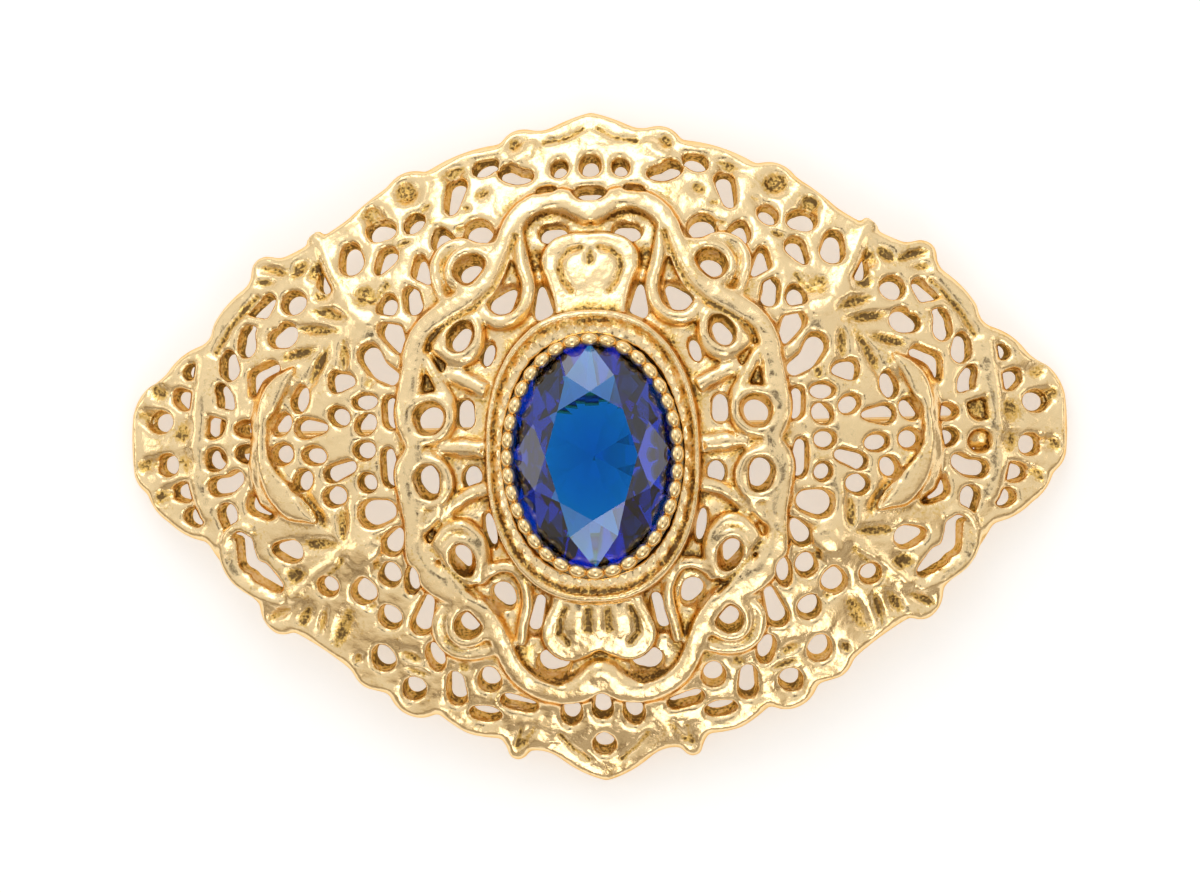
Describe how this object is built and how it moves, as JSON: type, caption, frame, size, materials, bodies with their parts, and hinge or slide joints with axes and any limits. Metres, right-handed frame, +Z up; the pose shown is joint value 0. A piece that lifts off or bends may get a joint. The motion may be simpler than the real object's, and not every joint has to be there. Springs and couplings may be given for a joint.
{
  "type": "filigree brooch",
  "caption": "Domed openwork oval-lozenge brooch with strapwork, a beaded oval setting, one faceted stone and a hinged pin with an open catch.",
  "frame": {"origin": "middle of the footprint, on the surface that the brooch lies on face up", "axes": "+X along the length towards the hinge, +Y across the width towards the top point, +Z up through the stone"},
  "size_m": [0.0748, 0.0534, 0.0125],
  "materials": {
    "cast_metal": "polished gold plating",
    "blue_glass": "faceted and polished",
    "wire": "polished gold plating"
  },
  "bodies": {
    "brooch": {"filigree_plate": "cast_metal", "stone_setting": "cast_metal", "stone": "blue_glass", "hinge_rivet": "wire"},
    "pin": {"pin_stem": "wire"}
  },
  "joints": [
    {"name": "pin_hinge", "type": "hinge", "parent": "brooch", "child": "pin", "pos_m": [0.0303, 0.0013, 0.00125], "axis": [0, -1, 0], "range_deg": [0, 95]}
  ]
}
